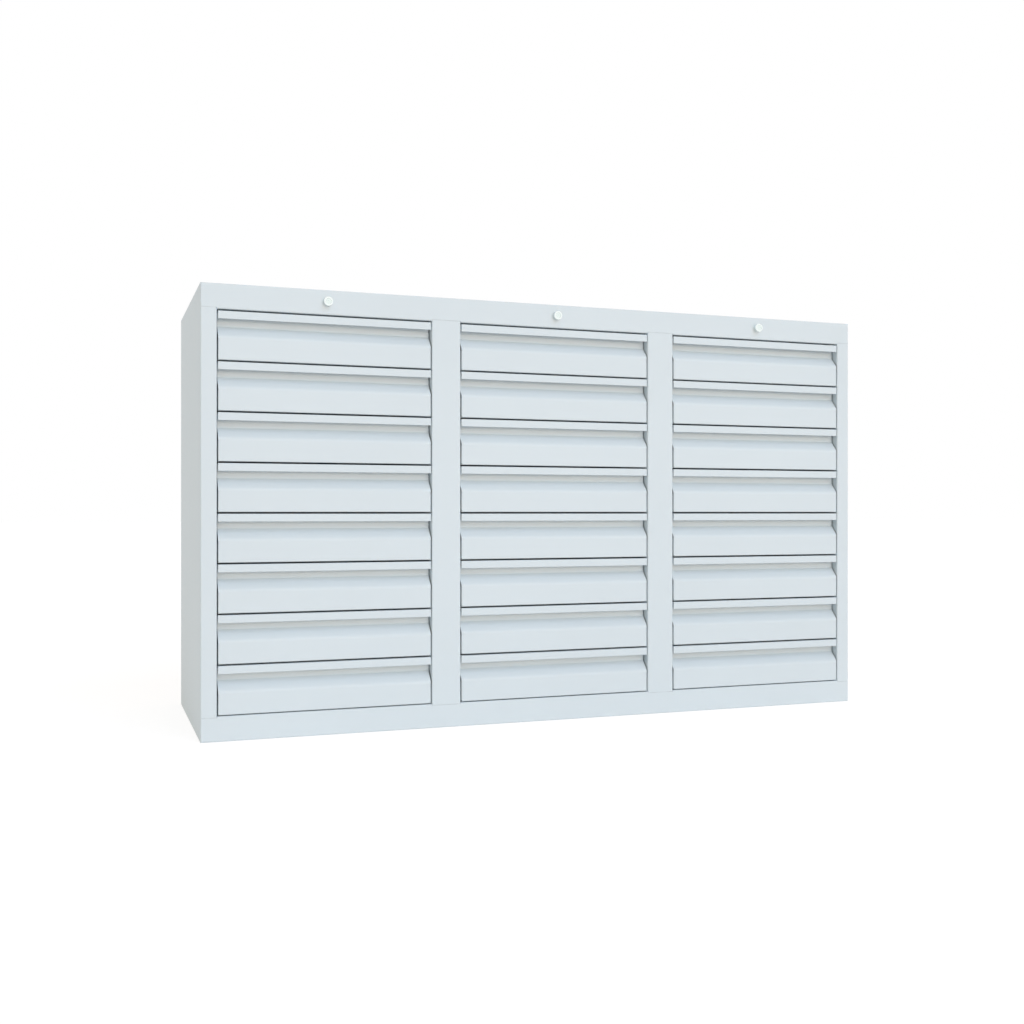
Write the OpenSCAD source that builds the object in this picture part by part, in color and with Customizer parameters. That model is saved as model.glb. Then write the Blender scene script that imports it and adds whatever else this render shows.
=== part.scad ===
// Parts bin cabinet: a welded sheet-steel carcass that holds columns of shallow drawers.
// Each column has a cylinder lock in the top rail. Its cam lowers a bar of pins in front of
// a catch on every drawer of that column.
// Origin: centre of the base, on the surface it stands on. The front faces -Y and +Z is up.
// Depths named _d are measured backwards from the front plane, and heights named _z inside a
// drawer are measured up from the bottom edge of its front.

/* [Cabinet] */
// Drawers in each column
drawers_per_column = 8; // [2:1:8]
// Height from the bottom of one drawer to the next
drawer_pitch = 79.8; // [76:0.1:150]
// Width of the opening of one column
opening_w = 350; // [200:1:600]
// Depth of the cabinet, front to back
cabinet_depth = 400; // [380:1:700]
// Height of the top and bottom rails
rail_h = 40; // [36:1:80]
// Width of the stile at each end
side_stile_w = 25; // [14:1:60]
// Width of the stile between two columns
middle_stile_w = 50; // [16:1:100]

/* [Carcass sheet] */
// Thickness of the carcass sheet
carcass_sheet = 1.2; // [0.8:0.1:2]
// Inner radius of the carcass bends
carcass_bend = 0.8; // [0.6:0.1:3]
// Width of the flanges that the back panel is riveted to
back_flange_w = 15; // [10:1:30]
// Depth of the return folded back from each rail
rail_return = 20; // [8:1:22]
// Gap at the joint between a rail and a stile
seam_gap = 0.1; // [0.1:0.1:1]
// Inner radius of the bends in runners, guides and catches
small_bend = 0.5; // [0.3:0.1:1]

/* [Drawer front] */
// Thickness of the drawer sheet
drawer_sheet = 1; // [0.6:0.1:1.5]
// Inner radius of the drawer bends
drawer_bend = 0.5; // [0.4:0.1:2]
// Gap above each front, to the next one or to the top rail
front_gap = 2.7; // [1:0.1:5]
// Gap under the lowest front
front_bottom_gap = 1.6; // [0.4:0.1:4]
// Gap beside a front, to the stile
front_side_gap = 1.9; // [0.8:0.1:4]
// Height of the lip over the finger recess
lip_h = 12.3; // [8:0.1:18]
// Height of the open mouth of the finger recess
recess_mouth = 11.2; // [9:0.1:14]
// Depth of the finger recess
recess_depth = 15; // [12:0.5:18]
// Height of the slope that leads into the recess
slope_h = 17.2; // [14:0.1:20]
// Inner radius of the soft bend between the front panel and the slope
panel_bend = 8; // [2:0.5:10]
// Inner radius of the soft bend at the foot of the recess
recess_bend = 2; // [1:0.5:6]
// Depth of the flange folded back under the front
front_flange = 26; // [22:1:34]
// Depth of the flange folded back at each end of the flat panel
side_flange = 14; // [4:1:15]
// Relief cut above and below each side flange
side_relief = 0.5; // [0.2:0.1:1]

/* [Drawer tray] */
// Height of the tray walls
tray_h = 56; // [50:1:58]
// Space between a tray wall and the stile, where the runner goes
tray_side_gap = 12; // [11.5:0.1:20]
// Space behind the tray, to the back panel
tray_back_gap = 15; // [8:1:60]
// Width of the rim that carries the tray on its runners
rim_w = 9.5; // [7:0.1:9.8]
// Height by which the front wall of the tray is welded up behind the recess
front_weld_h = 10; // [4:1:12]
// Length of the side flanges of the rear wall
rear_flange = 12; // [6:1:30]
// Fit-up gap between two sheets that are spot-welded together
fit_gap = 0.1; // [0.05:0.05:0.2]
// How far a drawer pulls out
drawer_travel = 290; // [100:5:300]

/* [Runners] */
// Thickness of the runner channel
runner_sheet = 1.2; // [0.8:0.1:1.5]
// Height inside the runner channel
channel_h = 7; // [6.6:0.1:8]
// Distance from the stile to the open edge of the channel
runner_w = 11; // [10.5:0.1:11.4]
// Distance from the front of the tray to the front of the runner
runner_setback = 2; // [1:1:10]
// Thickness of the nylon glide strip
glide_t = 1.6; // [1:0.1:2]
// Clearance between parts that slide on each other
running_gap = 0.3; // [0.2:0.05:0.4]
// Height of the pull-out stops on the rim and in the channel
stop_h = 3; // [2.2:0.1:3.2]
// Length of a stop in the channel
stop_l = 4; // [2:0.5:10]
// Length of the nylon buffer behind the rim
buffer_l = 3; // [2:0.5:5]

/* [Locks] */
// Diameter of the lock's head
head_d = 15; // [14:0.5:20]
// How far the head stands out of the rail
head_out = 7.5; // [3:0.5:12]
// Width of the rounded edge of the head
head_edge = 0.8; // [0.4:0.1:1.2]
// Diameter of the lock's barrel
barrel_d = 12; // [11:0.5:13]
// Length of the barrel behind the face of the rail
barrel_l = 19; // [14:0.5:20]
// Diameter of the turning plug
plug_d = 9.4; // [8:0.1:9.8]
// Radial clearance between plug and barrel
plug_gap = 0.05; // [0.03:0.01:0.1]
// Length of the key slot
key_slot_l = 5; // [4:0.1:7]
// Width of the key slot
key_slot_w = 1.2; // [1:0.1:2.5]
// Depth of the key slot
key_slot_depth = 5; // [2:0.5:10]
// Size across the flats of the lock's nut
nut_w = 19; // [17:0.5:24]
// Thickness of the nut
nut_t = 3; // [2:0.5:5]
// Width of the plug's square tail
tail_w = 6.2; // [5:0.1:6.4]
// Thickness of the cam plate
cam_t = 2; // [1.5:0.5:3]
// Width of the metal round the holes and the pin of the cam
cam_rim = 1.5; // [1:0.1:2]
// Distance from the lock's axis to the drive pin on the cam
cam_throw = 7; // [6.5:0.1:7.4]
// Diameter of the drive pin and of the bolt pins
pin_d = 4; // [3:0.5:5]
// Length of the drive pin behind the cam
drive_pin_l = 6.4; // [6:0.1:8]
// Diameter of the cam screw's thread
screw_d = 3; // [2.5:0.5:3]
// Length of the cam screw's thread
screw_l = 8; // [5:0.5:12]
// Height of the cam screw's head
screw_head_h = 2.2; // [1.5:0.1:2.4]
// Diameter of the cam screw's head
screw_head_d = 6; // [5:0.1:7]

/* [Lock bars] */
// Thickness of the lock bar
bar_t = 2; // [1.5:0.5:3]
// Width of the upright strip of the lock bar
bar_w = 22; // [20:1:30]
// Height of the arm that reaches to the cam
arm_h = 12; // [10:1:13]
// Clearance of the drive pin in the arm's slot
yoke_gap = 0.35; // [0.3:0.05:0.5]
// Space between the strip and the wall that guides it
bar_wall_gap = 1; // [0.5:0.1:1.5]
// How far a bolt pin reaches into the column
pin_reach = 6; // [5:0.5:7]
// Diameter of the spigot that rivets a bolt pin into the strip
spigot_d = 3; // [2:0.5:3]
// Diameter of the riveted end of a bolt pin
pin_head_d = 5; // [4:0.5:6]
// Height of the riveted end of a bolt pin
pin_head_h = 0.8; // [0.4:0.1:1.2]
// Clear height and depth round a pin or the arm where it passes through a wall
slot_play = 1; // [0.5:0.1:1.5]
// Length of the strip below its lowest pin
bar_foot = 12; // [6:1:20]
// Depth from the front plane to the catch on each tray
catch_d = 40; // [38:1:42]
// Height of the catch
catch_h = 10; // [8:1:11]
// Height of a locked pin's centre above the bottom of the drawer's front
locked_pin_z = 12; // [11:1:14]
// Play between a locked pin and the catch
catch_play = 0.5; // [0.3:0.1:1]
// Gap between a catch and the wall beside the drawer
catch_wall_gap = 3; // [2:0.5:4]
// Length of the foot that a catch is welded by
catch_foot = 15; // [6:1:30]
// Thickness of the catches and of the bar guides
clip_sheet = 1.2; // [0.8:0.1:1.5]
// Height of a bar guide
guide_h = 16; // [8:1:18]
// Length of each foot of a bar guide
guide_foot = 7; // [5:1:8]

/* [Back rivets] */
// Diameter of the rivets' shanks
rivet_d = 4; // [3:0.5:5]
// Diameter of the rivets' heads
rivet_head_d = 8; // [6:0.5:9]
// Height of the rivets' heads
rivet_head_h = 1; // [0.6:0.1:2]
// Diameter of the end that a rivet forms inside the cabinet
rivet_tail_d = 6; // [5.5:0.5:8]
// Rivets along the top, and along the bottom
rivets_across = 7; // [2:1:12]
// Rivets up each side
rivets_up = 4; // [2:1:8]
// Distance from a corner of the cabinet to the first rivet
rivet_margin = 60; // [40:5:100]

/* [Hidden] */
// Turn of one flat of a bend, in degrees
flat_turn = 15;
// Amount by which a cutting shape passes through what it cuts
cut = 1;
// Number of sides that makes a circle round
round_fn = 48;

column_names = ["left", "middle", "right"];
columns = len(column_names);

cabinet_w = columns * opening_w + (columns - 1) * middle_stile_w + 2 * side_stile_w;
cabinet_h = drawers_per_column * drawer_pitch + front_bottom_gap + 2 * rail_h;
side_x = cabinet_w / 2;
front_y = -cabinet_depth / 2;
back_y = cabinet_depth / 2;
opening_top = cabinet_h - rail_h;

// Carcass: outer radius of its bends, and where the flat part of each rail ends
carcass_corner = carcass_sheet + carcass_bend;
upper_seam = opening_top + carcass_corner;
lower_seam = rail_h - carcass_corner;
// The back panel lies against the inside of the back flanges
back_panel_y = back_y - 2 * carcass_sheet;

// Drawer front
front_w = opening_w - 2 * front_side_gap;
front_h = drawer_pitch - front_gap;
panel_h = front_h - lip_h - recess_mouth - slope_h;
// Outer radius of the front's bends, and where the flat panel ends under its soft bend
front_corner = drawer_sheet + drawer_bend;
flat_panel_h = panel_h - (drawer_sheet + panel_bend) * tan(atan2(recess_depth, slope_h) / 2);

// Drawer tray, in the drawer's own depths and heights
tray_d = recess_depth + drawer_sheet + fit_gap;
tray_back_d = cabinet_depth - 2 * carcass_sheet - tray_back_gap;
tray_x = opening_w / 2 - tray_side_gap;
tray_z = drawer_sheet + fit_gap;
rim_top_z = tray_z + tray_h;
rim_z = rim_top_z - drawer_sheet;
rim_x = tray_x + rim_w;

// Runner: the rim rides on the glide, which lies in the channel
glide_z = rim_z - running_gap - glide_t;
runner_z = glide_z - runner_sheet;
channel_top_z = glide_z + channel_h;
runner_d = tray_d + runner_setback;
runner_back_d = tray_back_d + running_gap + buffer_l;
runner_x = opening_w / 2 - runner_w;
stop_back_d = tray_back_d - drawer_sheet - drawer_travel - running_gap;

// Lock: stands in the middle of the flat face of the top rail
lock_z = cabinet_h - (rail_h - carcass_corner) / 2;
unlocked_angle = 45;
pin_lift = cam_throw * sin(unlocked_angle);
bar_travel = 2 * pin_lift;
cam_d = barrel_l + running_gap;
cam_back_d = cam_d + cam_t;
arm_d = cam_back_d + screw_head_h + 2 * running_gap;
arm_z = lock_z + pin_lift;

// Lock bar: runs in the hollow to the right of its column, measured from the column's middle
wall_x = opening_w / 2;
hollow_x = wall_x + carcass_sheet;
bar_x = hollow_x + bar_wall_gap;
bar_back_x = bar_x + bar_t;
pin_x = wall_x - pin_reach;
pin_centre_d = catch_d - pin_d / 2 - catch_play;
unlocked_pin_z = locked_pin_z + bar_travel;
catch_x = wall_x - catch_wall_gap;

column_nodes = [
    "_runners", "_glides", "_lock_housing", "_lock_plug", "_lock_cam", "_cam_screw", "_lock_bar",
    "_bolt_pins"
];

carcass_colour = [0.86, 0.89, 0.91];
drawer_colour = [0.84, 0.88, 0.91];
zinc_colour = [0.66, 0.68, 0.70];
nylon_colour = [0.92, 0.92, 0.88];
lock_colour = [0.93, 0.95, 0.95];
brass_colour = [0.72, 0.74, 0.70];

function drawer_name(c, r) = str(column_names[c], "_drawer_", r);
function column_x(c) = (c - (columns - 1) / 2) * (opening_w + middle_stile_w);
function stile_x(i) = column_x(i) + (opening_w + middle_stile_w) / 2;
function drawer_z(r) = rail_h + front_bottom_gap + (r - 1) * drawer_pitch;

// Rivet centres on the back, as [x, z]
rivet_x = side_x - back_flange_w / 2;
rivet_z = back_flange_w / 2;
rivet_points = concat(
    [
        for (i = [0 : rivets_across - 1]) for (z = [rivet_z, cabinet_h - rivet_z])
            [(cabinet_w - 2 * rivet_margin) * (i / (rivets_across - 1) - 0.5), z]
    ],
    [
        for (i = [0 : rivets_up - 1]) for (x = [-rivet_x, rivet_x])
            [x, rivet_margin + (cabinet_h - 2 * rivet_margin) * i / (rivets_up - 1)]
    ]
);

// Folded sheet. The path gives the corners of one face of the sheet, as [x, y] or
// [x, y, inner radius], and the sheet's thickness lies to the left of the path.
function heading(a, b) = atan2(b[1] - a[1], b[0] - a[0]);
function left_of(h) = [-sin(h), cos(h)];
function ahead(h) = [cos(h), sin(h)];
function turn_at(path, i) =
    let (turn = heading(path[i], path[i + 1]) - heading(path[i - 1], path[i]))
    turn > 180 ? turn - 360 : turn < -180 ? turn + 360 : turn;

// Points of the face that lies the distance s to the left of the path
function sheet_face(path, thick, bend, s) = let (
    last = len(path) - 1,
    first_h = heading(path[0], path[1]),
    last_h = heading(path[last - 1], path[last])
) concat(
    [[path[0][0], path[0][1]] + s * left_of(first_h)],
    [
        for (i = [1 : last - 1]) let (
            h = heading(path[i - 1], path[i]),
            turn = turn_at(path, i),
            side = sign(turn),
            inner = len(path[i]) > 2 ? path[i][2] : bend,
            radius = side > 0 ? thick + inner : inner,
            setback = radius * tan(abs(turn) / 2),
            centre = [path[i][0], path[i][1]] - setback * ahead(h) + side * radius * left_of(h),
            flats = ceil(abs(turn) / flat_turn)
        ) for (k = [0 : flats]) centre - (side * radius - s) * left_of(h + turn * k / flats)
    ],
    [[path[last][0], path[last][1]] + s * left_of(last_h)]
);
module folded(path, thick, bend) {
    near = sheet_face(path, thick, bend, 0);
    far = sheet_face(path, thick, bend, thick);
    polygon(concat(near, [for (i = [len(far) - 1 : -1 : 0]) far[i]]));
}

// Extrusions along each axis, and a block between two corners
module along_x(x0, x1) {
    translate([x0, 0, 0]) rotate([90, 0, 90]) linear_extrude(x1 - x0) children();
}
module along_y(y0, y1) {
    translate([0, y1, 0]) rotate([90, 0, 0]) linear_extrude(y1 - y0) children();
}
module along_z(z0, z1) {
    translate([0, 0, z0]) linear_extrude(z1 - z0) children();
}
module block(low, high) {
    translate(low) cube(high - low);
}
// Puts children, built along +Z from the front plane, on an axis that runs backwards
module facing_back(x, z) {
    translate([x, front_y, z]) rotate([-90, 0, 0]) children();
}

// Outline of the cabinet seen from above, with its rounded upright edges
module cabinet_plan() {
    x = side_x - carcass_corner;
    y = back_y - carcass_corner;
    corners = [[x, y], [-x, y], [-x, -y], [x, -y]];
    flats = 90 / flat_turn;
    polygon([
        for (i = [0 : 3]) for (k = [0 : flats])
            corners[i] + carcass_corner * ahead(90 * i + flat_turn * k)
    ]);
}

module rivet_holes() {
    for (p = rivet_points)
        translate([p[0], back_y + cut, p[1]]) rotate([90, 0, 0])
            cylinder(d = rivet_d, h = 2 * carcass_sheet + 2 * cut, $fn = round_fn);
}

// Deck, rail, rail return and back flange, folded from one sheet
module deck_and_rail() {
    difference() {
        intersection() {
            along_x(-side_x, side_x) folded([
                [back_y, cabinet_h - back_flange_w],
                [back_y, cabinet_h],
                [front_y, cabinet_h],
                [front_y, opening_top],
                [front_y + rail_return, opening_top]
            ], carcass_sheet, carcass_bend);
            along_z(opening_top - cut, cabinet_h + cut) cabinet_plan();
        }
        for (x = [[-side_x - cut, side_stile_w - side_x], [side_x - side_stile_w, side_x + cut]])
            rail_notch(x[0], x[1]);
        for (i = [0 : columns - 2])
            rail_notch(stile_x(i) - middle_stile_w / 2, stile_x(i) + middle_stile_w / 2);
        rivet_holes();
    }
}
module rail_notch(x0, x1) {
    block(
        [x0, front_y - cut, opening_top - cut],
        [x1, front_y + rail_return + cut, upper_seam]
    );
}

module top_panel() {
    color(carcass_colour) difference() {
        deck_and_rail();
        for (c = [0 : columns - 1]) facing_back(column_x(c), lock_z) translate([0, 0, -cut])
            cylinder(d = barrel_d + 2 * plug_gap, h = carcass_sheet + 2 * cut, $fn = round_fn);
    }
}

module bottom_panel() {
    color(carcass_colour) translate([0, 0, cabinet_h]) mirror([0, 0, 1]) deck_and_rail();
}

// Cuts an upright clear of the rails, the back flanges and the bends of the deck and the base
module upright_ends(x0, x1) {
    y = back_y - carcass_sheet;
    relief = [[y, 0], [y - carcass_corner, 0], [y, carcass_corner]];
    for (flip = [0, 1]) mirror([0, flip, 0]) {
        along_x(x0, x1) polygon(relief);
        translate([0, 0, cabinet_h]) mirror([0, 0, 1]) along_x(x0, x1) polygon(relief);
    }
    flange_z = back_flange_w + seam_gap;
    block([x0, front_y - cut, 0], [x1, front_y + carcass_sheet, lower_seam + seam_gap]);
    block([x0, front_y - cut, upper_seam - seam_gap], [x1, front_y + carcass_sheet, cabinet_h]);
    block([x0, y, 0], [x1, back_y + cut, flange_z]);
    block([x0, y, cabinet_h - flange_z], [x1, back_y + cut, cabinet_h]);
}

// Side panel: back flange, outer wall, stile and inner wall, folded from one sheet
module side_panel() {
    difference() {
        along_z(carcass_sheet, cabinet_h - carcass_sheet) folded([
            [back_flange_w - side_x, back_y],
            [-side_x, back_y],
            [-side_x, front_y],
            [side_stile_w - side_x, front_y],
            [side_stile_w - side_x, back_panel_y]
        ], carcass_sheet, carcass_bend);
        upright_ends(-side_x - cut, side_stile_w - side_x + cut);
        rivet_holes();
    }
}
module left_side_panel() {
    color(carcass_colour) side_panel();
}
module right_side_panel() {
    color(carcass_colour) difference() {
        mirror([1, 0, 0]) side_panel();
        lock_cuts(columns - 1);
    }
}

// Partition: a channel whose web is the stile, between column i and the next one
module partition(i) {
    x0 = stile_x(i) - middle_stile_w / 2;
    x1 = stile_x(i) + middle_stile_w / 2;
    color(carcass_colour) difference() {
        along_z(carcass_sheet, cabinet_h - carcass_sheet) folded([
            [x0, back_panel_y],
            [x0, front_y],
            [x1, front_y],
            [x1, back_panel_y]
        ], carcass_sheet, carcass_bend);
        upright_ends(x0 - cut, x1 + cut);
        lock_cuts(i);
    }
}

// Window for the lock bar's arm, and a slot for each bolt pin, in the wall right of a column
module lock_cuts(c) {
    x0 = column_x(c) + wall_x - cut;
    x1 = column_x(c) + hollow_x + cut;
    play = arm_h / 2 + slot_play;
    arm_y = front_y + arm_d;
    block(
        [x0, arm_y - slot_play, arm_z - bar_travel - play],
        [x1, arm_y + bar_t + slot_play, arm_z + play]
    );
    slot_half = pin_d / 2 + slot_play;
    pin_y = front_y + pin_centre_d;
    for (r = [1 : drawers_per_column]) block(
        [x0, pin_y - slot_half, drawer_z(r) + locked_pin_z - slot_half],
        [x1, pin_y + slot_half, drawer_z(r) + unlocked_pin_z + slot_half]
    );
}

module back_panel() {
    x = side_x - carcass_corner;
    color(carcass_colour) difference() {
        block(
            [-x, back_panel_y, carcass_corner],
            [x, back_y - carcass_sheet, cabinet_h - carcass_corner]
        );
        rivet_holes();
    }
}

module back_rivets() {
    color(zinc_colour) for (p = rivet_points)
        translate([p[0], back_panel_y, p[1]]) rotate([-90, 0, 0]) {
            translate([0, 0, -rivet_head_h])
                cylinder(d = rivet_tail_d, h = rivet_head_h, $fn = round_fn);
            cylinder(d = rivet_d, h = 2 * carcass_sheet, $fn = round_fn);
            translate([0, 0, 2 * carcass_sheet])
                cylinder(d1 = rivet_head_d, d2 = rivet_tail_d, h = rivet_head_h, $fn = round_fn);
        }
}

// Places the shape of the right-hand side at both sides of every drawer of a column
module both_sides(c) {
    for (r = [1 : drawers_per_column]) for (flip = [0, 1])
        translate([column_x(c), front_y, drawer_z(r)]) mirror([flip, 0, 0]) children();
}

// Runner channel, with the stop that catches the rim's tab when the drawer is out
module runners(c) {
    top_z = channel_top_z + runner_sheet;
    color(zinc_colour) both_sides(c) {
        along_y(runner_d, runner_back_d) folded([
            [runner_x, runner_z],
            [wall_x, runner_z],
            [wall_x, top_z],
            [runner_x, top_z]
        ], runner_sheet, small_bend);
        block(
            [runner_x, stop_back_d - stop_l, channel_top_z - stop_h],
            [rim_x, stop_back_d, channel_top_z + runner_sheet / 2]
        );
    }
}

// Nylon glide strip in the bottom of the channel, ending in a buffer behind the rim
module glides(c) {
    x1 = wall_x - runner_sheet - small_bend;
    color(nylon_colour) both_sides(c) {
        block([runner_x + running_gap, runner_d, glide_z], [x1, runner_back_d, glide_z + glide_t]);
        block(
            [runner_x + running_gap, runner_back_d - buffer_l, glide_z],
            [x1, runner_back_d, channel_top_z]
        );
    }
}

// Rounded cap and barrel of the lock, screwed into the rail by its nut
module lock_housing(c) {
    head_r = head_d / 2;
    color(lock_colour) facing_back(column_x(c), lock_z) difference() {
        union() {
            rotate_extrude($fn = round_fn) polygon([
                [0, -head_out],
                for (k = [0 : 90 / flat_turn])
                    [head_r - head_edge, head_edge - head_out]
                        + head_edge * [sin(flat_turn * k), -cos(flat_turn * k)],
                [head_r, 0],
                [0, 0]
            ]);
            cylinder(d = barrel_d, h = barrel_l, $fn = round_fn);
        }
        translate([0, 0, -head_out - cut])
            cylinder(d = plug_d + 2 * plug_gap, h = head_out + barrel_l + 2 * cut, $fn = round_fn);
    }
}

module lock_nuts() {
    color(zinc_colour) for (c = [0 : columns - 1]) facing_back(column_x(c), lock_z)
        translate([0, 0, carcass_sheet]) difference() {
            cylinder(d = nut_w / cos(30), h = nut_t, $fn = 6);
            translate([0, 0, -cut]) cylinder(d = barrel_d, h = nut_t + 2 * cut, $fn = round_fn);
        }
}

// Turning plug with its key slot, and a square tail that drives the cam
module lock_plug(c) {
    color(brass_colour) facing_back(column_x(c), lock_z) difference() {
        union() {
            translate([0, 0, plug_gap - head_out])
                cylinder(d = plug_d, h = head_out - plug_gap + barrel_l, $fn = round_fn);
            block([-tail_w / 2, -tail_w / 2, 0], [tail_w / 2, tail_w / 2, cam_back_d]);
        }
        block(
            [-key_slot_l / 2, -key_slot_w / 2, -head_out - cut],
            [key_slot_l / 2, key_slot_w / 2, key_slot_depth - head_out]
        );
        translate([0, 0, cam_back_d - screw_l - running_gap])
            cylinder(d = screw_d + 2 * plug_gap, h = screw_l + cut, $fn = round_fn);
    }
}

// Cam plate and its drive pin, shown unlocked with the pin raised
module lock_cam(c) {
    hole = tail_w + 2 * plug_gap;
    rim_r = pin_d / 2 + cam_rim;
    color(zinc_colour) facing_back(column_x(c), lock_z) rotate([0, 0, -unlocked_angle]) {
        translate([0, 0, cam_d]) linear_extrude(cam_t) difference() {
            union() {
                circle(d = hole + 4 * cam_rim, $fn = round_fn);
                translate([0, -rim_r]) square([cam_throw, 2 * rim_r]);
                translate([cam_throw, 0]) circle(r = rim_r, $fn = round_fn);
            }
            rotate([0, 0, unlocked_angle]) square(hole, center = true);
        }
        translate([cam_throw, 0, cam_back_d - cam_t / 2])
            cylinder(d = pin_d, h = drive_pin_l + cam_t / 2, $fn = round_fn);
    }
}

module cam_screw(c) {
    color(zinc_colour) facing_back(column_x(c), lock_z) {
        translate([0, 0, cam_back_d - screw_l]) cylinder(d = screw_d, h = screw_l, $fn = round_fn);
        translate([0, 0, cam_back_d])
            cylinder(d = screw_head_d, h = screw_head_h, $fn = round_fn);
    }
}

// Lock bar: an arm behind the rail, slotted for the cam's pin, and an upright strip
module lock_bar(c) {
    x = column_x(c);
    arm_y = front_y + arm_d;
    slot_half = pin_d / 2 + yoke_gap;
    slot_end = pin_d / 2 + slot_play;
    color(zinc_colour) difference() {
        union() {
            block(
                [x - bar_t, arm_y, arm_z - arm_h / 2],
                [x + bar_back_x, arm_y + bar_t, arm_z + arm_h / 2]
            );
            block(
                [x + bar_x, arm_y, drawer_z(1) + unlocked_pin_z - bar_foot],
                [x + bar_back_x, arm_y + bar_w, arm_z + arm_h / 2]
            );
        }
        block(
            [x + pin_lift - slot_end, arm_y - cut, arm_z - slot_half],
            [x + cam_throw + slot_end, arm_y + bar_t + cut, arm_z + slot_half]
        );
        for (r = [1 : drawers_per_column]) translate([
            x + bar_x - cut, front_y + pin_centre_d, drawer_z(r) + unlocked_pin_z
        ]) rotate([0, 90, 0]) cylinder(d = spigot_d, h = bar_t + 2 * cut, $fn = round_fn);
    }
}

// Bolt pins, one for each drawer, riveted into the strip
module bolt_pins(c) {
    color(zinc_colour) for (r = [1 : drawers_per_column]) translate([
        column_x(c), front_y + pin_centre_d, drawer_z(r) + unlocked_pin_z
    ]) rotate([0, 90, 0]) {
        translate([0, 0, pin_x]) cylinder(d = pin_d, h = bar_x - pin_x, $fn = round_fn);
        translate([0, 0, bar_x]) cylinder(d = spigot_d, h = bar_t, $fn = round_fn);
        translate([0, 0, bar_back_x]) cylinder(d = pin_head_d, h = pin_head_h, $fn = round_fn);
    }
}

// Hat-shaped guides on the hollow side of the wall, two to each lock bar
module bar_guides() {
    y0 = front_y + arm_d - running_gap;
    y1 = y0 + bar_w + 2 * running_gap;
    span = bar_wall_gap + bar_t + running_gap;
    color(zinc_colour) for (c = [0 : columns - 1]) for (r = [1, drawers_per_column]) {
        x = column_x(c) + hollow_x;
        z = drawer_z(r) + drawer_pitch - guide_h - slot_play;
        along_z(z, z + guide_h) folded([
            [x, y1 + guide_foot],
            [x, y1],
            [x + span, y1],
            [x + span, y0],
            [x, y0],
            [x, y0 - guide_foot]
        ], clip_sheet, small_bend);
    }
}

// Drawer: front, tray, front wall, rear wall and catch, spot-welded together
module drawer(c, r) {
    color(drawer_colour) translate([column_x(c), front_y, drawer_z(r)]) {
        drawer_front();
        drawer_tray();
        tray_front_wall();
        tray_rear_wall();
        drawer_catch();
    }
}

// Front: lip, finger recess, slope, flat panel, bottom flange and side flanges, folded from one sheet
module drawer_front() {
    end_x = front_w / 2;
    difference() {
        along_x(-end_x, end_x) folded([
            [drawer_sheet, front_h - lip_h],
            [drawer_sheet, front_h - drawer_sheet],
            [recess_depth, front_h - drawer_sheet],
            [recess_depth, panel_h + slope_h, recess_bend],
            [0, panel_h, panel_bend],
            [0, 0],
            [front_flange, 0]
        ], drawer_sheet, drawer_bend);
        for (flip = [0, 1]) mirror([flip, 0, 0]) block(
            [end_x - front_corner, -cut, front_corner],
            [end_x + cut, front_corner, flat_panel_h]
        );
    }
    for (flip = [0, 1]) mirror([flip, 0, 0])
        along_z(front_corner + side_relief, flat_panel_h - side_relief) folded([
            [end_x - 2 * front_corner, 0],
            [end_x, 0],
            [end_x, side_flange]
        ], drawer_sheet, drawer_bend);
}

// Tray: floor, two walls and outward rims from one sheet, with a stop tab on each rim
module drawer_tray() {
    along_y(tray_d, tray_back_d) folded([
        [-rim_x, rim_z],
        [-tray_x, rim_z],
        [-tray_x, tray_z],
        [tray_x, tray_z],
        [tray_x, rim_z],
        [rim_x, rim_z]
    ], drawer_sheet, drawer_bend);
    for (flip = [0, 1]) mirror([flip, 0, 0]) block(
        [runner_x + running_gap, tray_back_d - drawer_sheet, rim_top_z - drawer_sheet / 2],
        [rim_x, tray_back_d, rim_top_z + stop_h]
    );
}

// Outline of a wall that closes an end of the tray, clipped to clear the bends of the floor
module tray_end(top) {
    x = tray_x - drawer_sheet - fit_gap;
    z = tray_z + drawer_sheet + fit_gap;
    polygon([
        [drawer_bend - x, z],
        [x - drawer_bend, z],
        [x, z + drawer_bend],
        [x, top],
        [-x, top],
        [-x, z + drawer_bend]
    ]);
}
module tray_front_wall() {
    along_y(tray_d, tray_d + drawer_sheet) tray_end(rim_top_z + front_weld_h);
}
module tray_rear_wall() {
    x = tray_x - drawer_sheet - fit_gap;
    flange_d = tray_back_d - rear_flange;
    intersection() {
        along_z(tray_z, rim_top_z) folded([
            [x, flange_d],
            [x, tray_back_d],
            [-x, tray_back_d],
            [-x, flange_d]
        ], drawer_sheet, drawer_bend);
        along_y(flange_d - cut, tray_back_d + cut) tray_end(rim_top_z - drawer_bend);
    }
}

// Catch: an angle on the right wall of the tray, which the bolt pin stands in front of
module drawer_catch() {
    x = tray_x + fit_gap;
    z = locked_pin_z - catch_h / 2;
    along_z(z, z + catch_h) folded([
        [x, catch_d + catch_foot],
        [x, catch_d],
        [catch_x, catch_d]
    ], clip_sheet, small_bend);
}

left_side_panel();
right_side_panel();
partition(0);  // left_partition
partition(1);  // right_partition
top_panel();
bottom_panel();
back_panel();
back_rivets();
lock_nuts();
bar_guides();
for (c = [0 : columns - 1]) {
    runners(c);
    glides(c);
    lock_housing(c);
    lock_plug(c);
    lock_cam(c);
    cam_screw(c);
    lock_bar(c);
    bolt_pins(c);
    for (r = [1 : drawers_per_column])
        drawer(c, r);
}
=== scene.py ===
import math

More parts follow.
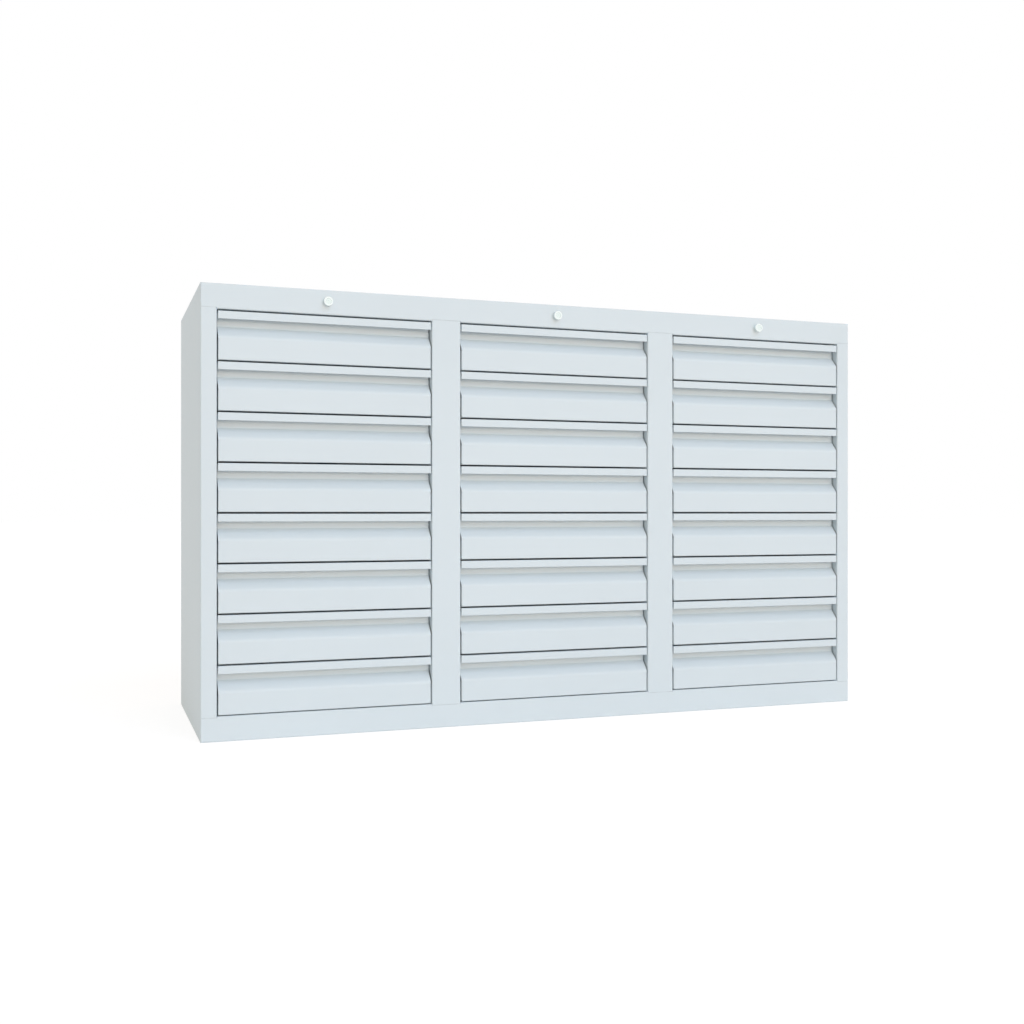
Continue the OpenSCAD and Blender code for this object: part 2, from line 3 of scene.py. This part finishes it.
import bmesh
import bpy
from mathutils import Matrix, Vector


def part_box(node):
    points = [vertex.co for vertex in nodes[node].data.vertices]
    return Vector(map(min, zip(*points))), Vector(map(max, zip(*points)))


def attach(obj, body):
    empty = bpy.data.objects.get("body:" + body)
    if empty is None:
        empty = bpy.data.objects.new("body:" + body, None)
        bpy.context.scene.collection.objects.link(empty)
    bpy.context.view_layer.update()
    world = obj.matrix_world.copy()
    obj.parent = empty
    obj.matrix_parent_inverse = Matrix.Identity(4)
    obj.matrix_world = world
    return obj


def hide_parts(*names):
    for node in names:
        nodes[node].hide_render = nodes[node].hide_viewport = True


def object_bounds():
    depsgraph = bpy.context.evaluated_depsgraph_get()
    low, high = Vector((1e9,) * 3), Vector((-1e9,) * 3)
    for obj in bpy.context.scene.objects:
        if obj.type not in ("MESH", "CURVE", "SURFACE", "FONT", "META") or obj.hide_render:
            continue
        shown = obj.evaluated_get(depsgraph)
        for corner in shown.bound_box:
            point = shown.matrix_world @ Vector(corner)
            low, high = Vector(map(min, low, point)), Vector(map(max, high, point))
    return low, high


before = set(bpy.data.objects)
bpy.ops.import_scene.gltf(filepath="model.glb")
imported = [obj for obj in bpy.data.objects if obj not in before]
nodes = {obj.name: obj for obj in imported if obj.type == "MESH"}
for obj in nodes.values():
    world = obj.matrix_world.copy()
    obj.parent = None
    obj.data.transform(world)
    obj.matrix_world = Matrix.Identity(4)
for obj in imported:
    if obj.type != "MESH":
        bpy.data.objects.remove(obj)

cad_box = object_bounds()


# Carcass
# Two side panels, two partitions, the top, the bottom and the back, each folded from one steel
# sheet, spot-welded into a box and powder-coated light grey. The coat has a fine orange peel,
# clouds slightly and is paler along an edge, partly where it thins and partly as a painted
# highlight. The dark line in the joints of the front is painted shade.
carcass_grey = (0.680, 0.735, 0.755, 1)
# Paler along edges and bends: partly a thinner coat, partly a painted highlight
thin_coat_and_highlight_grey = (0.780, 0.820, 0.835, 1)
# Painted shade: the dark line along the joints of the front
joint_shade_grey = (0.30, 0.325, 0.335, 1)
cloud_size = 0.35
cloud_darkening = 0.972
patch_size = 0.018
patch_strength = (0.15, 0.55)
coat_roughness = 0.46
coat_roughness_range = (0.42, 0.52)
gloss_size = 0.006
peel_size = 0.0011
peel_height = 0.00002
thin_coat_and_highlight_width = 0.0005
edge_samples = 4
# Where the joints lie, above the base and below the top, and how far the painted shade in them
# reaches
rail_joint = 0.038
joint_shade_width = 0.0009
joint_shade_depth = 0.0001
joint_shade_fade = 0.0005
cut_edge_radius = 0.00015
shading_weight = 60
same_point = 0.000004
same_plane = math.radians(0.5)
sharpest_bend = math.radians(30)


def noise(tree, place, size, detail=2.0):
    """A noise pattern whose bumps are about the given size across, in metres."""
    node = tree.nodes.new("ShaderNodeTexNoise")
    node.inputs["Scale"].default_value = 1 / size
    node.inputs["Detail"].default_value = detail
    tree.links.new(place, node.inputs["Vector"])
    return node.outputs["Fac"]


def spread(tree, value, low, high, from_low=0.3, from_high=0.7):
    """Stretches a pattern's middle range to run from low to high."""
    node = tree.nodes.new("ShaderNodeMapRange")
    node.inputs["From Min"].default_value = from_low
    node.inputs["From Max"].default_value = from_high
    node.inputs["To Min"].default_value = low
    node.inputs["To Max"].default_value = high
    tree.links.new(value, node.inputs["Value"])
    return node.outputs["Result"]


def blend_colours(tree, amount, first, second):
    """Mixes two colours, each a constant or another node's output, by a pattern."""
    node = tree.nodes.new("ShaderNodeMix")
    node.data_type = "RGBA"
    tree.links.new(amount, node.inputs["Factor"])
    for socket, colour in ((node.inputs[6], first), (node.inputs[7], second)):
        if isinstance(colour, tuple):
            socket.default_value = colour
        else:
            tree.links.new(colour, socket)
    return node.outputs[2]


def maths(tree, operation, *values):
    """One step of arithmetic, each value a constant or another node's output."""
    node = tree.nodes.new("ShaderNodeMath")
    node.operation = operation
    for socket, value in zip(node.inputs, values):
        if isinstance(value, float):
            socket.default_value = value
        else:
            tree.links.new(value, socket)
    return node.outputs[0]


def raised(tree, pattern, height):
    """Bump of the given height, in metres."""
    node = tree.nodes.new("ShaderNodeBump")
    node.inputs["Strength"].default_value = 1
    node.inputs["Distance"].default_value = height
    tree.links.new(pattern, node.inputs["Height"])
    return node.outputs["Normal"]


def near_edges(tree, width, sharp=0.80, flat=0.99):
    """1 on edges and tight bends, falling to 0 at the given distance from them."""
    rounded = tree.nodes.new("ShaderNodeBevel")
    rounded.samples = edge_samples
    rounded.inputs["Radius"].default_value = width
    surface = tree.nodes.new("ShaderNodeNewGeometry")
    dot = tree.nodes.new("ShaderNodeVectorMath")
    dot.operation = "DOT_PRODUCT"
    tree.links.new(rounded.outputs["Normal"], dot.inputs[0])
    tree.links.new(surface.outputs["Normal"], dot.inputs[1])
    return spread(tree, dot.outputs["Value"], 1, 0, sharp, flat)


def new_material(name, colour, roughness, metallic=0.0):
    """A plain node material: returns it with its tree, shader and object coordinates."""
    material = bpy.data.materials.new(name)
    material.use_nodes = True
    material.diffuse_color = colour
    tree = material.node_tree
    shader = tree.nodes["Principled BSDF"]
    shader.inputs["Base Color"].default_value = colour
    shader.inputs["Metallic"].default_value = metallic
    shader.inputs["Roughness"].default_value = roughness
    place = tree.nodes.new("ShaderNodeTexCoord").outputs["Object"]
    return material, tree, shader, place


def rail_joints(tree, place):
    """1 on the front's joints between rails and stiles, falling to 0 at the edge of the painted
    shade.
    """
    point = tree.nodes.new("ShaderNodeSeparateXYZ")
    tree.links.new(place, point.inputs[0])
    stile_low, stile_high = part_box("right_partition")
    stile_middle = (stile_low.x + stile_high.x) / 2
    across = maths(tree, "PINGPONG", point.outputs["X"], stile_middle)
    on_stile = spread(tree, across, 0, 1, stile_low.x - joint_shade_fade, stile_low.x)
    depth = stile_low.y + joint_shade_depth
    on_front = spread(tree, point.outputs["Y"], 1, 0, depth, depth + joint_shade_fade)
    middle = cad_box[1][2] / 2
    from_middle = maths(tree, "ABSOLUTE", maths(tree, "SUBTRACT", point.outputs["Z"], middle))
    from_joint = maths(tree, "ABSOLUTE", maths(tree, "SUBTRACT", from_middle, middle - rail_joint))
    beside = spread(tree, from_joint, 1, 0, 0, joint_shade_width)
    return maths(tree, "MULTIPLY", beside, maths(tree, "MULTIPLY", on_stile, on_front))


def powder_coat(name, colour, thin_and_highlight_colour, jointed=False):
    """Powder coat with its peel, its clouds, its paler edges, partly thin coat and partly painted
    highlight, and, if jointed, painted shade in the joints.
    """
    material, tree, shader, place = new_material(name, colour, coat_roughness)
    deeper = tuple(c * cloud_darkening for c in colour[:3]) + (1,)
    clouds = spread(tree, noise(tree, place, cloud_size, detail=3), 0, 1)
    coat = blend_colours(tree, clouds, colour, deeper)
    patchy = spread(tree, noise(tree, place, patch_size, detail=3), *patch_strength)
    # Paler along edges and bends: thinner coat there, and a painted highlight
    thin_and_highlight = maths(tree, "MULTIPLY", near_edges(tree, thin_coat_and_highlight_width), patchy)
    coat = blend_colours(tree, thin_and_highlight, coat, thin_and_highlight_colour)
    if jointed:
        # Painted shade along the joints between the rails and the stiles
        shaded_joints = maths(tree, "MULTIPLY", rail_joints(tree, place), patchy)
        coat = blend_colours(tree, shaded_joints, coat, joint_shade_grey)
    tree.links.new(coat, shader.inputs["Base Color"])
    gloss = spread(tree, noise(tree, place, gloss_size), *coat_roughness_range)
    tree.links.new(gloss, shader.inputs["Roughness"])
    peel = noise(tree, place, peel_size)
    tree.links.new(raised(tree, peel, peel_height), shader.inputs["Normal"])
    return material


def smooth_sheet(node, material, radius=cut_edge_radius):
    """Joins a node's faces, rounds its cut edges and shades its bends as one smooth turn."""
    piece = nodes[node]
    mesh = piece.data
    for name in ("custom_normal", "sharp_edge", "sharp_face"):
        if name in mesh.attributes:
            mesh.attributes.remove(mesh.attributes[name])
    weld = piece.modifiers.new("joined_faces", "WELD")
    weld.merge_threshold = same_point
    flat = piece.modifiers.new("whole_flats", "DECIMATE")
    flat.decimate_type = "DISSOLVE"
    flat.angle_limit = same_plane
    edge = piece.modifiers.new("rounded_edges", "BEVEL")
    edge.width = radius
    edge.segments = 2
    edge.limit_method = "ANGLE"
    edge.angle_limit = sharpest_bend
    shade = piece.modifiers.new("even_shading", "WEIGHTED_NORMAL")
    shade.mode = "FACE_AREA"
    shade.weight = shading_weight
    for slot in piece.material_slots:
        slot.material = material


carcass_coat = powder_coat("carcass_powder_coat", carcass_grey, thin_coat_and_highlight_grey, jointed=True)
for name in (
    "left_side_panel", "right_side_panel", "left_partition", "right_partition",
    "top_panel", "bottom_panel", "back_panel",
):
    smooth_sheet(name, carcass_coat)


# Rivets of the back panel
# Steel blind rivets, zinc-plated. Each is pulled from behind: the domed head stays outside with
# the broken end of its mandrel in the middle, and the shank spreads inside the cabinet.
mm = 0.001
zinc_grey = (0.62, 0.64, 0.66, 1)
darker_zinc_grey = (0.52, 0.54, 0.56, 1)
rubbed_zinc_grey = (0.80, 0.82, 0.84, 1)
zinc_patch_size = 0.010
zinc_roughness = 0.34
zinc_duller, zinc_glossier = 0.09, 0.07
mottle_share = 0.4
rubbed_width = 0.0004
rub_size = 0.004
rub_strength = (0.2, 0.8)
grain_size = 0.0006
grain_height = 0.000008
touching = 0.000001
sharpest_smooth = math.radians(35)
round_sides = 48
# Each ring is (depth from the spread end, radius), in millimetres
rivet_rings = [
    (0, 2.2), (0.15, 2.75), (0.6, 3), (1, 2.7), (1, 2), (3.4, 2),
    (3.4, 3.9), (3.5, 4), (3.65, 3.95), (3.95, 3.5), (4.2, 2.8), (4.35, 2), (4.4, 1.45),
    (4.35, 1.25), (4.2, 1.15), (3.9, 1.1), (3.9, 0.95), (4.1, 0.9), (4.15, 0.75),
]


def solids(node):
    """The box of each separate solid in a node, as (lowest corner, highest corner)."""
    build = bmesh.new()
    build.from_mesh(nodes[node].data)
    bmesh.ops.remove_doubles(build, verts=build.verts, dist=touching)
    boxes = []
    rest = set(build.verts)
    while rest:
        solid, edge = [], [rest.pop()]
        while edge:
            vert = edge.pop()
            solid.append(vert.co.copy())
            for other in (e.other_vert(vert) for e in vert.link_edges):
                if other in rest:
                    rest.remove(other)
                    edge.append(other)
        low = Vector(min(co[i] for co in solid) for i in range(3))
        high = Vector(max(co[i] for co in solid) for i in range(3))
        boxes.append((low, high))
    build.free()
    return sorted(boxes, key=lambda box: tuple(box[0]))


def turned(build, rings, start, hollow=False):
    """Adds a turned shape along +Y from its start point. A ring is (depth, radius) in
    millimetres, either of which may be a function of the angle. A hollow one closes on itself."""
    loops = []
    for depth, radius in rings:
        loop = []
        for k in range(round_sides):
            angle = 2 * math.pi * k / round_sides
            d = depth(angle) if callable(depth) else depth
            r = radius(angle) if callable(radius) else radius
            place = Vector((r * math.cos(angle), d, r * math.sin(angle))) * mm
            loop.append(build.verts.new(start + place))
        loops.append(loop)
    pairs = list(zip(loops, loops[1:] + loops[:1]))
    for near, far in pairs if hollow else pairs[:-1]:
        for k in range(round_sides):
            j = (k + 1) % round_sides
            build.faces.new((near[k], near[j], far[j], far[k]))
    if not hollow:
        build.faces.new(loops[0])
        build.faces.new(loops[-1])


def finish_piece(name, build, material, body, replaced):
    """Makes the built mesh a smooth-shaded piece that rides on its body."""
    bmesh.ops.recalc_face_normals(build, faces=build.faces)
    for face in build.faces:
        face.smooth = True
    for edge in build.edges:
        edge.smooth = edge.calc_face_angle(0) < sharpest_smooth
    mesh = bpy.data.meshes.new(name)
    build.to_mesh(mesh)
    build.free()
    mesh.materials.append(material)
    piece = bpy.data.objects.new(name, mesh)
    bpy.context.scene.collection.objects.link(piece)
    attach(piece, body)
    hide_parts(replaced)


def zinc_plate(name, colour, darker, patch, roughness):
    """Bright zinc: patches of slightly different grey and gloss, with a fine drawn grain."""
    material, tree, shader, place = new_material(name, colour, roughness, metallic=1.0)
    patches = spread(tree, noise(tree, place, patch, detail=3), 0, 1)
    plate = blend_colours(tree, patches, colour, darker)
    worn = spread(tree, noise(tree, place, rub_size), *rub_strength)
    rubbed = maths(tree, "MULTIPLY", near_edges(tree, rubbed_width), worn)
    plate = blend_colours(tree, rubbed, plate, rubbed_zinc_grey)
    tree.links.new(plate, shader.inputs["Base Color"])
    mottle = noise(tree, place, patch * mottle_share, detail=3)
    gloss = spread(tree, mottle, roughness - zinc_glossier, roughness + zinc_duller)
    tree.links.new(gloss, shader.inputs["Roughness"])
    grain = noise(tree, place, grain_size, detail=3)
    tree.links.new(raised(tree, grain, grain_height), shader.inputs["Normal"])
    return material


bright_zinc = zinc_plate(
    "bright_zinc_plate", zinc_grey, darker_zinc_grey, zinc_patch_size, zinc_roughness
)
build = bmesh.new()
for low, high in solids("back_rivets"):
    turned(build, rivet_rings, Vector(((low.x + high.x) / 2, low.y, (low.z + high.z) / 2)))
finish_piece("back_panel_rivets", build, bright_zinc, "carcass", "back_rivets")


# Runners and glides
# Each drawer hangs by its two rims in channels of galvanised strip, folded and spot-welded to
# the stile. A moulded strip of white nylon lies in each channel, and its end is the rear buffer.
columns = ["left", "middle", "right"]
galvanised_grey = (0.58, 0.60, 0.61, 1)
darker_galvanised_grey = (0.47, 0.49, 0.50, 1)
spangle_size = 0.006
galvanised_roughness = 0.42
nylon_white = (0.84, 0.84, 0.79, 1)
nylon_shade = (0.79, 0.78, 0.71, 1)
nylon_roughness = 0.4
nylon_roughness_range = (0.34, 0.48)
nylon_glow = 0.12
nylon_glow_radius = (0.002, 0.002, 0.0015)
flow_size = 0.03
nylon_gloss_size = 0.005
nylon_skin_size = 0.0008
nylon_skin_height = 0.00001
nylon_edge_radius = 0.0003


def moulded_nylon():
    """Natural nylon: slightly translucent, with faint flow marks and a moulded skin."""
    material, tree, shader, place = new_material("moulded_nylon", nylon_white, nylon_roughness)
    shader.inputs["Subsurface Weight"].default_value = nylon_glow
    shader.inputs["Subsurface Radius"].default_value = nylon_glow_radius
    flow = spread(tree, noise(tree, place, flow_size, detail=3), 0, 1)
    tree.links.new(blend_colours(tree, flow, nylon_white, nylon_shade), shader.inputs["Base Color"])
    gloss = spread(tree, noise(tree, place, nylon_gloss_size), *nylon_roughness_range)
    tree.links.new(gloss, shader.inputs["Roughness"])
    skin = noise(tree, place, nylon_skin_size)
    tree.links.new(raised(tree, skin, nylon_skin_height), shader.inputs["Normal"])
    return material


galvanised = zinc_plate(
    "galvanised_strip", galvanised_grey, darker_galvanised_grey, spangle_size, galvanised_roughness
)
nylon = moulded_nylon()
for column in columns:
    smooth_sheet(f"{column}_runners", galvanised)
    smooth_sheet(f"{column}_glides", nylon, nylon_edge_radius)


# Locks
# A die-cast, chrome-plated cylinder lock in the top rail over each column. Its head bears on the
# front of the rail and its threaded barrel is held by a hexagon nut. The turning plug has a dust
# shutter in its key slot, and a cross-head screw holds the cam on the plug's square tail.
chrome_grey = (0.940, 0.990, 0.975, 1)
chrome_haze = (0.910, 0.965, 0.950, 1)
chrome_roughness = 0.10
nickel_grey = (0.875, 0.955, 0.925, 1)
nickel_haze = (0.840, 0.920, 0.900, 1)
nickel_roughness = 0.08
haze_size = 0.004
smear_size = 0.0012
smear_duller, smear_glossier = 0.07, 0.05
polish_size = 0.0003
polish_height = 0.000004
stamped_edge_radius = 0.0002
# The lock's own sizes are in millimetres
head_depth = 7.5
head_radius = 7.5
bore_radius = 4.75
thread_root, thread_crest, thread_pitch = 5.55, 5.98, 1.0
thread_flank = 2.4
thread_start = head_depth + 1.4
thread_end = 0.5
samples_per_turn = 6
plug_radius = 4.7
key_slot = (5.0, 1.2)
shutter_depth = 1.0
shutter_share = 0.97
tail_width = 6.2
small_chamfer = 0.2
screw_head = 2.2
nut_width = 19.0
nut_chamfer_radius = 9.1
nut_chamfer_angle = math.radians(30)
nut_bore_radius = 6.0
nut_bore_chamfer = 0.4
nut_bore_chamfer_depth = 0.5
hexagon_step = math.radians(60)
never_zero = 0.000001


def plated(name, colour, tint, roughness):
    """Bright plating with a faint tarnish and a very fine grain."""
    material, tree, shader, place = new_material(name, colour, roughness, metallic=1.0)
    haze = spread(tree, noise(tree, place, haze_size, detail=3), 0, 1)
    tree.links.new(blend_colours(tree, haze, colour, tint), shader.inputs["Base Color"])
    smears = noise(tree, place, smear_size, detail=3)
    gloss = spread(tree, smears, roughness - smear_glossier, roughness + smear_duller)
    tree.links.new(gloss, shader.inputs["Roughness"])
    polish = noise(tree, place, polish_size, detail=3)
    tree.links.new(raised(tree, polish, polish_height), shader.inputs["Normal"])
    return material


def box_axis(node):
    """The point where a lock piece's axis meets its foremost face, and the piece's length."""
    low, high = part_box(node)
    return Vector(((low.x + high.x) / 2, low.y, (low.z + high.z) / 2)), (high.y - low.y) / mm


def rectangle(width, height):
    """Radius of a rectangle's outline at an angle."""
    def radius(a):
        to_side = width / 2 / max(abs(math.cos(a)), never_zero)
        to_top = height / 2 / max(abs(math.sin(a)), never_zero)
        return min(to_side, to_top)
    return radius


def hexagon(a):
    """Radius of the nut's outline at an angle."""
    return nut_width / 2 / math.cos(a % hexagon_step - hexagon_step / 2)


def nut_corner(a):
    """How far the nut's chamfer comes down at an angle."""
    return (hexagon(a) - nut_chamfer_radius) * math.tan(nut_chamfer_angle)


def cross(arm, half):
    """Radius of a cross-shaped recess with rounded arms at an angle."""
    def radius(a):
        from_arm = abs((a + math.pi / 4) % (math.pi / 2) - math.pi / 4)
        return min(arm, half / max(math.sin(from_arm), never_zero))
    return radius


def thread(depth):
    """Radius of a one-start thread at a depth, round the turn."""
    def radius(a):
        turn = ((depth - thread_start) / thread_pitch - a / (2 * math.pi)) % 1
        height = min(1, thread_flank * min(turn, 1 - turn))
        return thread_root + (thread_crest - thread_root) * height
    return radius


chrome = plated("lock_chrome_plate", chrome_grey, chrome_haze, chrome_roughness)
nickel = plated("plug_nickel_plate", nickel_grey, nickel_haze, nickel_roughness)
for column in columns:
    start, length = box_axis(f"{column}_lock_housing")
    turns = (length - thread_end - thread_start) / thread_pitch
    cuts = [
        thread_start + i * thread_pitch / samples_per_turn
        for i in range(int(turns * samples_per_turn) + 1)
    ]
    build = bmesh.new()
    turned(build, [
        (0.35, bore_radius), (0.10, bore_radius + 0.06), (0.0, bore_radius + 0.25),
        (0.0, head_radius - 1), (0.03, head_radius - 0.7), (0.16, head_radius - 0.4),
        (0.38, head_radius - 0.16), (0.68, head_radius - 0.03), (1.0, head_radius),
        (head_depth - 0.3, head_radius), (head_depth - 0.08, head_radius - 0.07),
        (head_depth, head_radius - 0.25),
        (head_depth, thread_crest), (thread_start - 0.01, thread_crest),
        *[(cut, thread(cut)) for cut in cuts],
        (length - 0.4, thread_root), (length, thread_root - 0.3), (length, bore_radius),
    ], start, hollow=True)
    finish_piece(
        f"{column}_lock_head_and_barrel", build, chrome, "carcass", f"{column}_lock_housing",
    )

    start, length = box_axis(f"{column}_lock_plug")
    slot = rectangle(*key_slot)
    tail_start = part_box(f"{column}_lock_housing")[1].y
    shoulder = (tail_start - start.y) / mm
    tail_end_width = tail_width - 2 * small_chamfer
    build = bmesh.new()
    turned(build, [
        (shutter_depth, lambda a: slot(a) * shutter_share), (0.35, slot),
        (0.14, lambda a: slot(a) + 0.12), (0.12, lambda a: slot(a) + 0.32),
        (0.10, plug_radius - 0.62), (0.12, plug_radius - 0.5), (0.22, plug_radius - 0.2),
        (0.5, plug_radius), (shoulder - small_chamfer, plug_radius),
        (shoulder, plug_radius - small_chamfer), (shoulder, rectangle(tail_width, tail_width)),
        (length - small_chamfer, rectangle(tail_width, tail_width)),
        (length, rectangle(tail_end_width, tail_end_width)),
    ], start)
    finish_piece(
        f"{column}_key_plug", build, nickel, f"{column}_lock", f"{column}_lock_plug"
    )

    start, length = box_axis(f"{column}_cam_screw")
    shank = length - screw_head
    build = bmesh.new()
    turned(build, [
        (0, 1.1), (0.4, 1.5), (shank, 1.5), (shank, 2.85), (shank + 0.15, 3.0), (shank + 1.1, 2.9),
        (shank + 1.7, 2.5), (shank + 2.05, 1.95), (shank + 2.12, cross(1.62, 0.42)),
        (shank + 1.9, cross(1.5, 0.36)), (shank + 0.8, cross(0.7, 0.3)),
    ], start)
    finish_piece(
        f"{column}_cross_head_screw", build, bright_zinc, f"{column}_lock", f"{column}_cam_screw",
    )
    smooth_sheet(f"{column}_lock_cam", bright_zinc, stamped_edge_radius)

build = bmesh.new()
for low, high in solids("lock_nuts"):
    thick = (high.y - low.y) / mm
    start = Vector(((low.x + high.x) / 2, low.y, (low.z + high.z) / 2))
    bore_mouth = nut_bore_radius + nut_bore_chamfer
    turned(build, [
        (nut_bore_chamfer_depth, nut_bore_radius), (0, bore_mouth), (0, nut_chamfer_radius),
        (nut_corner, hexagon), (lambda a: thick - nut_corner(a), hexagon),
        (thick, nut_chamfer_radius), (thick, bore_mouth),
        (thick - nut_bore_chamfer_depth, nut_bore_radius),
    ], start, hollow=True)
finish_piece("lock_hexagon_nuts", build, bright_zinc, "carcass", "lock_nuts")


# Lock bars
# Behind each column's right stile an upright strip of flat steel, zinc-plated, slides down in two
# hat-shaped guides. The cam's pin lowers it by its arm, and its riveted bolt pins then stand in
# front of the drawers' catches.
for column in columns:
    smooth_sheet(f"{column}_lock_bar", bright_zinc, stamped_edge_radius)
    smooth_sheet(f"{column}_bolt_pins", bright_zinc, stamped_edge_radius)
smooth_sheet("bar_guides", galvanised)


# Drawers
# 24 drawers of thinner sheet, numbered from the bottom. The front is one sheet: lip, finger
# recess, slope, flat panel, and flanges below and at both ends. It is spot-welded to the tray
# and coated with it, in the same light grey as the carcass.
rows = 8

drawer_coat = powder_coat("drawer_powder_coat", carcass_grey, thin_coat_and_highlight_grey)
for column in columns:
    for row in range(1, rows + 1):
        smooth_sheet(f"{column}_drawer_{row}", drawer_coat)


# Room
# A plain white floor and surround in soft light: an even surround that is warmer overhead, a
# cool key lamp high on the right, and a warmer lamp low in front.
floor_reach = 40
floor_bounce = 0.90
floor_seen_grey = 0.28
floor_glow = 0.797
seen_white = (1, 1, 1, 1)
overhead_light = (0.823, 0.702, 0.621, 1)
level_light = (0.327, 0.550, 0.593, 1)
overhead_from = 0.7
key_light = (0.334, 0.629, 0.982)
key_angle = 50
key_direction = (-0.35, 0.80, -0.75)
front_light = (1.683, 1.295, 1.003)
front_angle = 44
front_direction = (-0.25, 1.0, 0.0)
camera_place = (-0.7676, -2.0862, 0.3608)
camera_turn = -19.95
camera_lens = 41.24
sensor_width = 36
farthest_seen = 200

camera_data = bpy.data.cameras.new("camera")
camera_data.lens = camera_lens
camera_data.sensor_width = sensor_width
camera_data.clip_end = farthest_seen
camera = bpy.data.objects.new("camera", camera_data)
camera.location = camera_place
camera.rotation_euler = (math.radians(90), 0, math.radians(camera_turn))
bpy.context.scene.collection.objects.link(camera)
bpy.context.scene.camera = camera


def seen_directly(tree):
    """1 for what the camera sees, also in gloss and through glass, and 0 for other light."""
    path = tree.nodes.new("ShaderNodeLightPath")
    gloss_or_glass = maths(
        tree, "MAXIMUM", path.outputs["Is Glossy Ray"], path.outputs["Is Transmission Ray"]
    )
    return maths(tree, "MAXIMUM", path.outputs["Is Camera Ray"], gloss_or_glass)


def surround():
    """The light from all round, and plain white wherever it is seen."""
    world = bpy.data.worlds.new("surround")
    world.use_nodes = True
    tree = world.node_tree
    direction = tree.nodes.new("ShaderNodeSeparateXYZ")
    tree.links.new(tree.nodes.new("ShaderNodeTexCoord").outputs["Generated"], direction.inputs[0])
    height = spread(tree, direction.outputs["Z"], 0, 1, 0, overhead_from)
    light = blend_colours(tree, height, level_light, overhead_light)
    seen = blend_colours(tree, seen_directly(tree), light, seen_white)
    tree.links.new(seen, tree.nodes["Background"].inputs["Color"])
    return world


def sun(name, colour, angle, direction):
    """A broad soft lamp: its colour is its strength, and it doesn't show in gloss."""
    data = bpy.data.lights.new(name, "SUN")
    data.energy = 1
    data.angle = math.radians(angle)
    data.color = colour
    lamp = bpy.data.objects.new(name, data)
    lamp.rotation_euler = Vector(direction).to_track_quat("-Z", "Y").to_euler()
    lamp.visible_glossy = False
    bpy.context.scene.collection.objects.link(lamp)


def floor_paint():
    """Matt white that throws light up, and where it is seen, glows so that it stays plain."""
    material = bpy.data.materials.new("floor")
    material.use_nodes = True
    tree = material.node_tree
    tree.nodes.remove(tree.nodes["Principled BSDF"])
    matt = tree.nodes.new("ShaderNodeBsdfDiffuse")
    glow = tree.nodes.new("ShaderNodeEmission")
    both = tree.nodes.new("ShaderNodeAddShader")
    direct = seen_directly(tree)
    grey = spread(tree, direct, floor_bounce, floor_seen_grey, 0, 1)
    tree.links.new(grey, matt.inputs["Color"])
    tree.links.new(spread(tree, direct, 0, floor_glow, 0, 1), glow.inputs["Strength"])
    tree.links.new(matt.outputs["BSDF"], both.inputs[0])
    tree.links.new(glow.outputs["Emission"], both.inputs[1])
    tree.links.new(both.outputs["Shader"], tree.nodes["Material Output"].inputs["Surface"])
    return material


bpy.context.scene.world = surround()
sun("key", key_light, key_angle, key_direction)
sun("front", front_light, front_angle, front_direction)

build = bmesh.new()
corners = [(-1, -1), (1, -1), (1, 1), (-1, 1)]
build.faces.new([build.verts.new((x * floor_reach, y * floor_reach, 0)) for x, y in corners])
mesh = bpy.data.meshes.new("floor")
build.to_mesh(mesh)
build.free()
mesh.materials.append(floor_paint())
floor = bpy.data.objects.new("floor", mesh)
bpy.context.scene.collection.objects.link(floor)

bpy.context.scene.view_settings.view_transform = "Standard"
